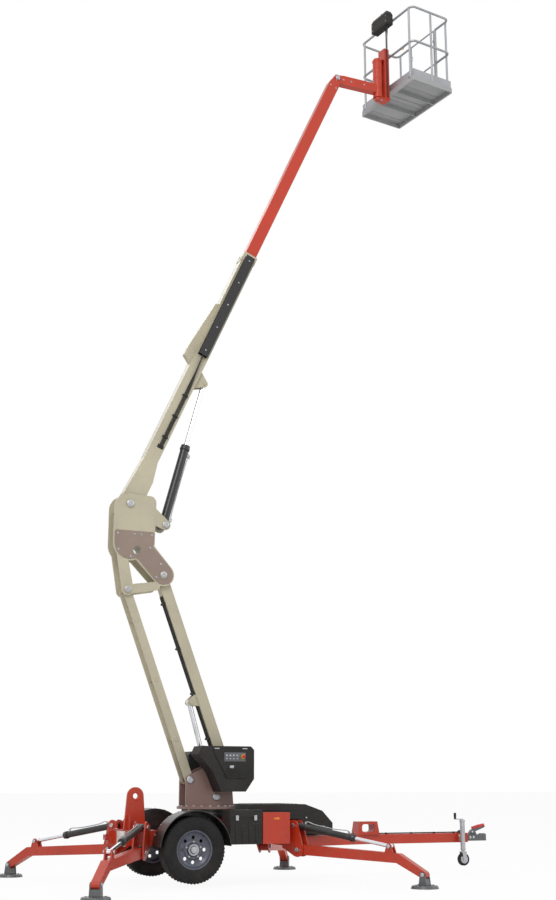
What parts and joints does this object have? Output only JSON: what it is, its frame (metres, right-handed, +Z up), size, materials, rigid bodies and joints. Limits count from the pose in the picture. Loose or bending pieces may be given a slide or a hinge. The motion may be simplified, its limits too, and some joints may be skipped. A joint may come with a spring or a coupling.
{
  "type": "towable boom lift",
  "caption": "Trailer-mounted boom lift with folding outriggers, a parallelogram tower, a telescopic upper boom and a railed work platform.",
  "frame": {"origin": "on the ground under the middle of the machine's footprint box, standing on its outriggers", "axes": "+Z up, +X towards the drawbar and its coupler, +Y to the left of the machine"},
  "size_m": [5.69, 3.9, 11.751],
  "materials": {
    "orange_paint": "gloss orange paint",
    "cream_paint": "satin cream paint",
    "umber_paint": "dull red-brown paint",
    "black_paint": "satin black paint",
    "black_plastic": "moulded black plastic with a fine grain",
    "cast_grey": "grey paint on cast and pressed steel",
    "zinc": "zinc plated steel",
    "chrome_rod": "hard chrome",
    "aluminium_rails": "mill finish tube",
    "grey_deck": "grey powder coat",
    "rim_silver": "silver wheel paint",
    "tyre": "road tyre rubber",
    "jack_rubber": "solid rubber",
    "red_lens": "red lamp lens"
  },
  "bodies": {
    "chassis": {"chassis_frame": "orange_paint", "outrigger_mounts": "orange_paint", "rear_post": "orange_paint", "drawbar": "orange_paint", "coupler": "cast_grey", "axle": "black_paint", "fenders": "black_paint", "side_boxes": "black_plastic", "side_wings": "orange_paint", "tail_lamps": "red_lens", "batteries": "black_plastic", "front_cover": "black_plastic", "swing_bearing": "black_paint"},
    "wheel_left": {"rim_left": "rim_silver", "tyre_left": "tyre"},
    "wheel_right": {"rim_right": "rim_silver", "tyre_right": "tyre"},
    "jack": {"jack_tube": "zinc"},
    "jack_leg": {"jack_leg": "zinc"},
    "jack_wheel": {"jack_wheel": "jack_rubber"},
    "turntable": {"turntable": "umber_paint", "swing_drive": "cast_grey", "control_box": "black_plastic", "hydraulic_unit": "black_plastic"},
    "tower_link": {"tower_link": "cream_paint"},
    "lower_arm": {"lower_arm": "cream_paint"},
    "tower_barrel": {"tower_barrel": "black_paint"},
    "tower_rod": {"tower_rod": "chrome_rod"},
    "knuckle": {"knuckle": "cream_paint"},
    "base_boom": {"base_boom": "cream_paint", "hose_tray": "black_paint"},
    "boom_barrel": {"boom_barrel": "black_paint"},
    "boom_rod": {"boom_rod": "chrome_rod"},
    "fly_boom": {"fly_boom": "orange_paint"},
    "platform_support": {"platform_support": "orange_paint"},
    "platform": {"platform_mast": "orange_paint", "platform_floor": "grey_deck", "platform_rails": "aluminium_rails", "console": "black_plastic"},
    "gate": {"platform_gate": "aluminium_rails"},
    "outrigger_front_left": {"outrigger_front_left": "orange_paint", "outrigger_foot_front_left": "cast_grey"},
    "outrigger_barrel_front_left": {"outrigger_barrel_front_left": "black_paint"},
    "outrigger_rod_front_left": {"outrigger_rod_front_left": "chrome_rod"},
    "outrigger_front_right": {"outrigger_front_right": "orange_paint", "outrigger_foot_front_right": "cast_grey"},
    "outrigger_barrel_front_right": {"outrigger_barrel_front_right": "black_paint"},
    "outrigger_rod_front_right": {"outrigger_rod_front_right": "chrome_rod"},
    "outrigger_rear_left": {"outrigger_rear_left": "orange_paint", "outrigger_foot_rear_left": "cast_grey"},
    "outrigger_barrel_rear_left": {"outrigger_barrel_rear_left": "black_paint"},
    "outrigger_rod_rear_left": {"outrigger_rod_rear_left": "chrome_rod"},
    "outrigger_rear_right": {"outrigger_rear_right": "orange_paint", "outrigger_foot_rear_right": "cast_grey"},
    "outrigger_barrel_rear_right": {"outrigger_barrel_rear_right": "black_paint"},
    "outrigger_rod_rear_right": {"outrigger_rod_rear_right": "chrome_rod"}
  },
  "joints": [
    {"name": "wheel_left_spin", "type": "hinge", "parent": "chassis", "child": "wheel_left", "pos_m": [-1.315, 0.685, 0.39], "axis": [0, 1, 0], "continuous": true},
    {"name": "wheel_right_spin", "type": "hinge", "parent": "chassis", "child": "wheel_right", "pos_m": [-1.315, -0.685, 0.39], "axis": [0, 1, 0], "continuous": true},
    {"name": "jack_swing", "type": "hinge", "parent": "chassis", "child": "jack", "pos_m": [2.435, -0.125, 0.435], "axis": [0, -1, 0], "range_deg": [-90, 0]},
    {"name": "jack_wind", "type": "slide", "parent": "jack", "child": "jack_leg", "axis": [0, 0, -1], "range_m": [0, 0.1]},
    {"name": "jack_wheel_spin", "type": "hinge", "parent": "jack_leg", "child": "jack_wheel", "pos_m": [2.435, -0.125, 0.185], "axis": [0, 1, 0], "continuous": true},
    {"name": "swing", "type": "hinge", "parent": "chassis", "child": "turntable", "pos_m": [-0.895, 0, 0.715], "axis": [0, 0, 1], "range_deg": [-180, 179]},
    {"name": "tower_lift", "type": "hinge", "parent": "turntable", "child": "lower_arm", "pos_m": [-0.705, 0, 1.31], "axis": [0, 1, 0], "range_deg": [-77, 2]},
    {"name": "tower_link_turn", "type": "hinge", "parent": "turntable", "child": "tower_link", "pos_m": [-1.135, 0, 1.12], "axis": [0, 1, 0], "range_deg": [-78.54, 3.54]},
    {"name": "knuckle_level", "type": "hinge", "parent": "lower_arm", "child": "knuckle", "pos_m": [-1.50739, 0, 3.43346], "axis": [0, 1, 0], "range_deg": [-3.54, 78.54]},
    {"name": "tower_barrel_turn", "type": "hinge", "parent": "turntable", "child": "tower_barrel", "pos_m": [-0.815, 0, 0.93], "axis": [0, 1, 0], "range_deg": [-63.62, 2.87]},
    {"name": "tower_rod_slide", "type": "slide", "parent": "tower_barrel", "child": "tower_rod", "axis": [-0.2782, 0, 0.9605], "range_m": [-0.4318, 0.0195]},
    {"name": "boom_lift", "type": "hinge", "parent": "knuckle", "child": "base_boom", "pos_m": [-1.93499, 0, 4.25006], "axis": [0, -1, 0], "range_deg": [-71, 4]},
    {"name": "boom_barrel_turn", "type": "hinge", "parent": "knuckle", "child": "boom_barrel", "pos_m": [-1.49499, 0, 4.03006], "axis": [0, -1, 0], "range_deg": [-80.39, 6.02]},
    {"name": "boom_rod_slide", "type": "slide", "parent": "boom_barrel", "child": "boom_rod", "axis": [0.2587, 0, 0.966], "range_m": [-0.5056, 0.0378]},
    {"name": "telescope", "type": "slide", "parent": "base_boom", "child": "fly_boom", "axis": [0.4099, 0, 0.9121], "range_m": [-2.9, 0]},
    {"name": "platform_level", "type": "hinge", "parent": "fly_boom", "child": "platform_support", "pos_m": [0.8779, 0, 10.50903], "axis": [0, -1, 0], "range_deg": [-5.42, 72.42]},
    {"name": "platform_rotate", "type": "hinge", "parent": "platform_support", "child": "platform", "pos_m": [1.5419, 0, 10.50103], "axis": [0, 0, 1], "range_deg": [-88, 72]},
    {"name": "gate_swing", "type": "hinge", "parent": "platform", "child": "gate", "pos_m": [2.39831, -0.14421, 10.50103], "axis": [0, 0, 1], "range_deg": [0, 90]},
    {"name": "outrigger_front_left_fold", "type": "hinge", "parent": "chassis", "child": "outrigger_front_left", "pos_m": [0.055, 0.5, 0.36], "axis": [-0.837, 0.5472, 0], "range_deg": [-80, 0]},
    {"name": "outrigger_barrel_front_left_turn", "type": "hinge", "parent": "chassis", "child": "outrigger_barrel_front_left", "pos_m": [0.02764, 0.45815, 0.62], "axis": [-0.837, 0.5472, 0], "range_deg": [-88.13, 1.73]},
    {"name": "outrigger_rod_front_left_slide", "type": "slide", "parent": "outrigger_barrel_front_left", "child": "outrigger_rod_front_left", "axis": [0.5398, 0.8256, -0.1644], "range_m": [-0.3347, 0.0066]},
    {"name": "outrigger_front_right_fold", "type": "hinge", "parent": "chassis", "child": "outrigger_front_right", "pos_m": [0.055, -0.5, 0.36], "axis": [0.837, 0.5472, 0], "range_deg": [-80, 0]},
    {"name": "outrigger_barrel_front_right_turn", "type": "hinge", "parent": "chassis", "child": "outrigger_barrel_front_right", "pos_m": [0.02764, -0.45815, 0.62], "axis": [0.837, 0.5472, 0], "range_deg": [-88.13, 1.73]},
    {"name": "outrigger_rod_front_right_slide", "type": "slide", "parent": "outrigger_barrel_front_right", "child": "outrigger_rod_front_right", "axis": [0.5398, -0.8256, -0.1644], "range_m": [-0.3347, 0.0066]},
    {"name": "outrigger_rear_left_fold", "type": "hinge", "parent": "chassis", "child": "outrigger_rear_left", "pos_m": [-1.845, 0.5, 0.36], "axis": [-0.837, -0.5472, 0], "range_deg": [-80, 0]},
    {"name": "outrigger_barrel_rear_left_turn", "type": "hinge", "parent": "chassis", "child": "outrigger_barrel_rear_left", "pos_m": [-1.81764, 0.45815, 0.62], "axis": [-0.837, -0.5472, 0], "range_deg": [-88.13, 1.73]},
    {"name": "outrigger_rod_rear_left_slide", "type": "slide", "parent": "outrigger_barrel_rear_left", "child": "outrigger_rod_rear_left", "axis": [-0.5398, 0.8256, -0.1644], "range_m": [-0.3347, 0.0066]},
    {"name": "outrigger_rear_right_fold", "type": "hinge", "parent": "chassis", "child": "outrigger_rear_right", "pos_m": [-1.845, -0.5, 0.36], "axis": [0.837, -0.5472, 0], "range_deg": [-80, 0]},
    {"name": "outrigger_barrel_rear_right_turn", "type": "hinge", "parent": "chassis", "child": "outrigger_barrel_rear_right", "pos_m": [-1.81764, -0.45815, 0.62], "axis": [0.837, -0.5472, 0], "range_deg": [-88.13, 1.73]},
    {"name": "outrigger_rod_rear_right_slide", "type": "slide", "parent": "outrigger_barrel_rear_right", "child": "outrigger_rod_rear_right", "axis": [-0.5398, -0.8256, -0.1644], "range_m": [-0.3347, 0.0066]}
  ],
  "couplings": [
    {"joint": "tower_link_turn", "follows": "tower_lift", "ratio": 1},
    {"joint": "knuckle_level", "follows": "tower_lift", "ratio": -1},
    {"joint": "tower_barrel_turn", "follows": "tower_lift", "ratio": 0.81},
    {"joint": "tower_rod_slide", "follows": "tower_lift", "m_per_rad": 0.315},
    {"joint": "boom_barrel_turn", "follows": "boom_lift", "ratio": 1.11},
    {"joint": "boom_rod_slide", "follows": "boom_lift", "m_per_rad": 0.4},
    {"joint": "platform_level", "follows": "boom_lift", "ratio": -1},
    {"joint": "outrigger_barrel_front_left_turn", "follows": "outrigger_front_left_fold", "ratio": 1.08},
    {"joint": "outrigger_rod_front_left_slide", "follows": "outrigger_front_left_fold", "m_per_rad": 0.235},
    {"joint": "outrigger_barrel_front_right_turn", "follows": "outrigger_front_right_fold", "ratio": 1.08},
    {"joint": "outrigger_rod_front_right_slide", "follows": "outrigger_front_right_fold", "m_per_rad": 0.235},
    {"joint": "outrigger_barrel_rear_left_turn", "follows": "outrigger_rear_left_fold", "ratio": 1.08},
    {"joint": "outrigger_rod_rear_left_slide", "follows": "outrigger_rear_left_fold", "m_per_rad": 0.235},
    {"joint": "outrigger_barrel_rear_right_turn", "follows": "outrigger_rear_right_fold", "ratio": 1.08},
    {"joint": "outrigger_rod_rear_right_slide", "follows": "outrigger_rear_right_fold", "m_per_rad": 0.235}
  ]
}
